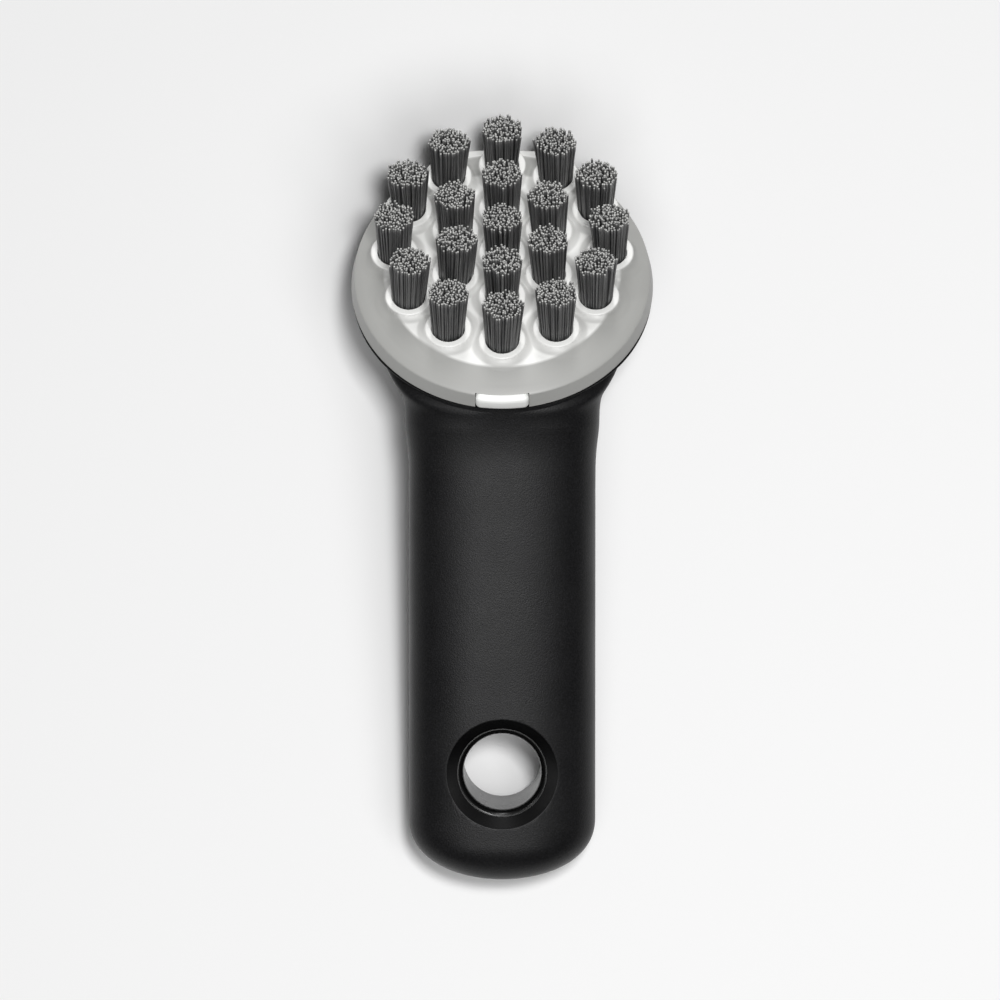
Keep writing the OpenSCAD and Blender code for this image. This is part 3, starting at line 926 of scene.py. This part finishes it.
def tab_window():
    """Cutters for the window in the band and for the tab's tongue and leg."""
    half_face = TAB_W / 2 + TAB_SIDE_GAP
    half_tongue = TONGUE_HALF_W + SLIDE_GAP
    back = -PLATE_R - TAB_PROUD + TAB_T
    leg_back = -SPIGOT_R - LEG_ROOM
    window = box(
        (-half_face, -PLATE_R - WINDOW_REACH, -CUT_PAST),
        (half_face, back + TAB_TRAVEL + SLIDE_GAP, BAND_H + WINDOW_RISE),
    )
    tongue_slot = box(
        (-half_tongue, back, TONGUE_Z - SLIDE_GAP),
        (half_tongue, back + TONGUE_LEN + TAB_TRAVEL + SLIDE_GAP, TONGUE_Z + TONGUE_T + SLIDE_GAP),
    )
    leg_slot = box(
        (-half_tongue, leg_back - LEG_T - SLIDE_GAP, -LEG_DEPTH - CUT_PAST),
        (half_tongue, leg_back + TAB_TRAVEL + SLIDE_GAP, TONGUE_Z),
    )
    return [window, tongue_slot, leg_slot]


def make_plate():
    """The plate with its collars, holes, scraper and the window of the tab."""
    face = [
        ("face", POLE_R + (FACE_R - POLE_R) * i / FACE_STEPS) for i in range(FACE_STEPS + 1)
    ]
    rim = [("rim", step) for step in range(1, BENDS + BAND_STEPS + 1)]
    inside = SPIGOT_R - SPIGOT_WALL
    under = [
        ("under", point)
        for point in [
            (SPIGOT_R, 0),
            (SPIGOT_R, -SPIGOT_DEPTH),
            (inside, -SPIGOT_DEPTH),
            (inside, -SLAB_DEPTH),
            (POLE_R, -SLAB_DEPTH),
        ]
    ]
    bm = sweep(face + rim + under, plate_point, PLATE_SEGMENTS)
    bm = combine(bm, [collars()], "UNION")
    bm = combine(bm, [tuft_holes(), *tab_window()], "DIFFERENCE")
    # Painted light and shade, kept as a share at each vertex for the plate's colour
    painted_light = bm.verts.layers.float.new("painted_light")
    for vert in bm.verts:
        vert[painted_light] = painted_light_share(*vert.co)
    bm.transform(HEAD)
    return add_piece(
        "bristle_plate_moulding",
        bm,
        "brush",
        plate_material(),
        ["bristle_plate"],
        crease=40,
    )


# Release tab

TAB_ROUND = 1.05
TAB_ROUND_STEPS = 9
# Cuts across the face that let it bend with the rim, on each side of the middle
TAB_CUTS = 12
TAB_CUT_PITCH = 0.4
BARB_TIP = 0.3
# Tolerance that tells a corner from its neighbours
CORNER = 0.1
# How far the joined boxes run into each other, and how far their sides are kept apart
TONGUE_ROOT = 0.5
BARB_ROOT = 0.2
SIDE_STEP = 0.01


def make_tab():
    """The white face, bent with the rim, with its tongue and its hooked leg."""
    front = -PLATE_R - TAB_PROUD
    back = front + TAB_T
    low = SEAT_GAP
    high = BAND_H + WINDOW_RISE - SEAT_GAP
    bm = box((-TAB_W / 2, front, low), (TAB_W / 2, back, high))
    front_edges = [
        edge
        for edge in bm.edges
        if any(vert.co.y < back - CORNER for vert in edge.verts)
    ]
    round_edges(bm, front_edges, TAB_ROUND, TAB_ROUND_STEPS)
    for step in range(-TAB_CUTS, TAB_CUTS + 1):
        bmesh.ops.bisect_plane(
            bm,
            geom=bm.verts[:] + bm.edges[:] + bm.faces[:],
            plane_co=(step * TAB_CUT_PITCH, 0, 0),
            plane_no=(1, 0, 0),
        )
    for vert in bm.verts:
        depth = (back - vert.co.y) / TAB_T
        bend = -front - math.sqrt(front * front - vert.co.x**2)
        vert.co.y += bend * depth
    leg_back = -SPIGOT_R - LEG_ROOM
    leg_front = leg_back - LEG_T
    tongue = box(
        (-TONGUE_HALF_W, back - TONGUE_ROOT, TONGUE_Z),
        (TONGUE_HALF_W, back + TONGUE_LEN, TONGUE_Z + TONGUE_T),
    )
    leg = box(
        (-TONGUE_HALF_W + SIDE_STEP, leg_front, -LEG_DEPTH),
        (TONGUE_HALF_W - SIDE_STEP, leg_back, TONGUE_Z + TONGUE_T / 2),
    )
    hook_top = -LEG_DEPTH + HOOK_H
    barb = box(
        (-TONGUE_HALF_W + 2 * SIDE_STEP, leg_front - HOOK, -LEG_DEPTH + SIDE_STEP),
        (TONGUE_HALF_W - 2 * SIDE_STEP, leg_front + BARB_ROOT, hook_top),
    )
    for vert in barb.verts:
        if vert.co.y < leg_front - CORNER and vert.co.z < hook_top - CORNER:
            vert.co.z = hook_top - BARB_TIP
    bm = combine(bm, [tongue, leg, barb], "UNION")
    bm.transform(HEAD)
    return add_piece(
        "tab_moulding",
        bm,
        "release_tab",
        tab_material(),
        ["release_tab"],
        crease=35,
    )


# Tufts

TUFT_SEED = 19
FILAMENT_R = 0.225
FILAMENT_PITCH = 0.475
FILAMENT_SIDES = 6
TEMPLATE_LEN = 10
FOOT_SINK = 0.5
FOOT_SHAKE = 0.05
# Share of a filament's radius by which its foot keeps inside the hole
FOOT_INSET = 0.8
# Painted light on the tips: the length painted lighter toward the top, how much lighter, the
# painted highlight on the cut, and the lift of the cut's edge
PAINTED_TIP_LENGTH = 0.08
TIP_PAINTED_LIGHT = 0.3
CUT_PAINTED_HIGHLIGHT = 0.7
CUT_RISE = 0.15
# Scatter of a whole tuft, of its filaments' spread, leans and lengths, and of their curl
TUFT_LEAN = (0.15, 0.12)
SPREAD_SCATTER = 0.04
TIP_SCATTER = (0.17, 0.14)
CROWN = 0.4
LENGTH_SCATTER = 0.22
STRAY_SHARE = 0.12
STRAY_REACH = 0.9
CURL = (0.9, 1.5)
# Levels of one filament: the share of its length, the rise over that and the radius
FILAMENT_LEVELS = [
    (0, 0, 1),
    (0.4, 0, 1),
    (0.75, 0, 1),
    (1 - PAINTED_TIP_LENGTH, 0, 1),
    (1, 0, 1),
    (1, 0.2, 0.92),
    (1, 0.32, 0.72),
]


def filament_template():
    """One filament of unit radius, whose rings know their share of the length."""

    def place(level, turn):
        along, rise, radius = level
        z = along * TEMPLATE_LEN + rise
        return Vector((radius * math.cos(turn), radius * math.sin(turn), z))

    bm = sweep(FILAMENT_LEVELS, place, FILAMENT_SIDES)
    share = bm.verts.layers.float.new("share")
    rise = bm.verts.layers.float.new("rise")
    for vert in bm.verts:
        vert[share] = min(vert.co.z / TEMPLATE_LEN, 1)
        vert[rise] = max(vert.co.z - TEMPLATE_LEN, 0)
    mesh = bpy.data.meshes.new("filament_template")
    bm.to_mesh(mesh)
    bm.free()
    return mesh


def filament_feet(draw):
    """Feet of a tuft's filaments: a packed lattice, shaken a little."""
    feet = []
    row_h = FILAMENT_PITCH * math.sqrt(3) / 2
    rows = int(TUFT_R / row_h) + 1
    turn = draw.uniform(0, math.pi)
    for row in range(-rows, rows + 1):
        for column in range(-rows - 2, rows + 3):
            u = (column + 0.5 * (row % 2)) * FILAMENT_PITCH
            v = row * row_h
            x = u * math.cos(turn) - v * math.sin(turn)
            y = u * math.sin(turn) + v * math.cos(turn)
            if math.hypot(x, y) < TUFT_R - FILAMENT_R * FOOT_INSET:
                x += draw.uniform(-FOOT_SHAKE, FOOT_SHAKE)
                y += draw.uniform(-FOOT_SHAKE, FOOT_SHAKE)
                feet.append((x, y))
    return feet


def make_tuft(name, tuft_x, tuft_y, template, material, draw):
    """One tuft: filaments that spread from their hole, with tips that don't line up."""
    bm = bmesh.new()
    share = bm.verts.layers.float.new("share")
    rise = bm.verts.layers.float.new("rise")
    tip = bm.verts.layers.float.new("tip")
    shade = bm.verts.layers.float.new("shade")
    foot_z = TUFT_FLOOR + SEAT_GAP + FOOT_SINK
    reach = TUFT_R - FILAMENT_R
    tilt_x, tilt_y = draw.gauss(0, TUFT_LEAN[0]), draw.gauss(0, TUFT_LEAN[1])
    for foot_x, foot_y in filament_feet(draw):
        out = math.hypot(foot_x, foot_y) / reach
        spread = draw.gauss(0, SPREAD_SCATTER)
        lean_x = foot_x * (TIP_R / TUFT_R - 1 + spread) + tilt_x + draw.gauss(0, TIP_SCATTER[0])
        lean_y = (
            foot_y * (TIP_REACH / TUFT_R - 1 + spread) + tilt_y + draw.gauss(0, TIP_SCATTER[1])
        )
        top_z = COLLAR_TOP + BRISTLE_LEN + CROWN * (1 - out * out)
        top_z += draw.gauss(0, LENGTH_SCATTER)
        if draw.random() < STRAY_SHARE:
            top_z += draw.uniform(-STRAY_REACH, STRAY_REACH)
        tone = draw.random()
        twist = draw.uniform(0, 2 * math.pi / FILAMENT_SIDES)
        curl = draw.uniform(*CURL)
        known = len(bm.verts)
        bm.from_mesh(template)
        bm.verts.ensure_lookup_table()
        for index in range(known, len(bm.verts)):
            vert = bm.verts[index]
            angle = math.atan2(vert.co.y, vert.co.x) + twist
            radius = FILAMENT_R * math.hypot(vert.co.x, vert.co.y)
            lean = vert[share] ** curl
            vert.co = (
                tuft_x + foot_x + lean_x * lean + radius * math.cos(angle),
                tuft_y + foot_y + lean_y * lean + radius * math.sin(angle),
                foot_z + (top_z - foot_z) * vert[share] + FILAMENT_R * vert[rise],
            )
            # Painted light: lighter over the top of each filament, with a painted highlight on its
            # cut
            vert[tip] = smoothstep(1 - PAINTED_TIP_LENGTH, 1, vert[share]) * TIP_PAINTED_LIGHT
            vert[tip] += CUT_PAINTED_HIGHLIGHT if vert[rise] > CUT_RISE else 0
            vert[shade] = tone
    bm.transform(HEAD)
    return add_piece(
        f"{name}_filaments", bm, "brush", material, [name], crease=60
    )


def make_tufts():
    """All the tufts, from one template and one seeded draw."""
    template = filament_template()
    material = filament_material()
    draw = random.Random(TUFT_SEED)
    for name, x, y in TUFTS:
        make_tuft(name, x, y, template, material, draw)
    bpy.data.meshes.remove(template)


# Studio

# The photo's metres a pixel and size, and the pixel where the part's origin lies in it
PHOTO_SCALE = 0.207e-3
PHOTO_SIZE = 1000
PHOTO_AXIS = (502.2, 497.4)
CAMERA_HEIGHT = 5
SCALE_HEIGHT = 0.02
SENSOR = 36
FLOOR_Z = -0.0003
WORLD_STRENGTH = 0.03


def make_camera():
    """Camera straight above, at the photo's scale for what is SCALE_HEIGHT high."""
    camera = bpy.data.cameras.new("overhead")
    camera.sensor_width = SENSOR
    camera.lens = SENSOR * (CAMERA_HEIGHT - SCALE_HEIGHT) / (PHOTO_SCALE * PHOTO_SIZE)
    camera.clip_end = 4 * CAMERA_HEIGHT
    rig = bpy.data.objects.new("overhead", camera)
    rig.location = (
        (PHOTO_SIZE / 2 - PHOTO_AXIS[0]) * PHOTO_SCALE,
        (PHOTO_AXIS[1] - PHOTO_SIZE / 2) * PHOTO_SCALE,
        CAMERA_HEIGHT,
    )
    bpy.context.scene.collection.objects.link(rig)
    bpy.context.scene.camera = rig


def make_floor():
    """Plain floor, a hair under the part so that no faces coincide."""
    bm = bmesh.new()
    bmesh.ops.create_grid(bm, x_segments=2, y_segments=2, size=2)
    mesh = bpy.data.meshes.new("studio_floor")
    bm.to_mesh(mesh)
    bm.free()
    mesh.materials.append(floor_material())
    floor = bpy.data.objects.new("studio_floor", mesh)
    floor.location.z = FLOOR_Z
    bpy.context.scene.collection.objects.link(floor)
    return floor


def add_light(name, toward, distance, size, irradiance, receivers=None):
    """Soft box in a direction from the brush, as bright as asked where it strikes.

    It lights only what the collection of its receivers lets it, where one is given.
    """
    light = bpy.data.lights.new(name, "AREA")
    light.shape = "RECTANGLE"
    light.size, light.size_y = size
    light.energy = irradiance * math.pi * distance**2
    rig = bpy.data.objects.new(name, light)
    rig.location = Vector(toward).normalized() * distance
    rig.rotation_euler = (-Vector(toward)).to_track_quat("-Z", "Y").to_euler()
    rig.light_linking.receiver_collection = receivers
    bpy.context.scene.collection.objects.link(rig)


def floor_receivers(name, floor, state):
    """Collection that lets a light reach the floor alone, or all but the floor."""
    receivers = bpy.data.collections.new(name)
    receivers.objects.link(floor)
    receivers.collection_objects[0].light_linking.link_state = state
    return receivers


def make_studio():
    """One soft key light with its shadow, a wash of the floor and boxes for the brush."""
    floor = make_floor()
    on_floor = floor_receivers("on_the_floor", floor, "INCLUDE")
    off_floor = floor_receivers("off_the_floor", floor, "EXCLUDE")
    # Name, direction, distance, size, irradiance and receivers
    add_light("key", (0.1, 0.09, 0.985), 1.6, (0.26, 0.26), 1.95)
    add_light("head_box", (0.06, 0.5, 0.86), 1.5, (0.3, 0.3), 0.5, off_floor)
    add_light("wash", (0.17, -0.35, 1), 0.9, (0.7, 0.5), 1.55, on_floor)
    add_light("low_card", (0, 0.87, 0.5), 2.0, (0.3, 0.75), 0.85, off_floor)
    add_light("front_strip", (-0.12, -0.3, 0.94), 0.7, (0.16, 0.2), 0.72, off_floor)
    add_light("left_box", (-0.5, 0.2, 0.84), 1.3, (0.12, 0.12), 0.3, off_floor)
    world = bpy.data.worlds.new("studio")
    world.use_nodes = True
    background = world.node_tree.nodes["Background"]
    background.inputs["Color"].default_value = (1, 1, 1, 1)
    background.inputs["Strength"].default_value = WORLD_STRENGTH
    bpy.context.scene.world = world
    bpy.context.scene.view_settings.view_transform = "Standard"


def finish_cad_nodes():
    """The core and the anchors keep their CAD shape and get their finish."""
    for node, material in [
        ("handle_core", gloss_core_material()),
        ("tuft_anchors", anchor_material()),
    ]:
        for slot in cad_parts[node].material_slots:
            slot.material = material


make_camera()
make_studio()
finish_cad_nodes()
make_grip()
make_plate()
make_tab()
make_tufts()
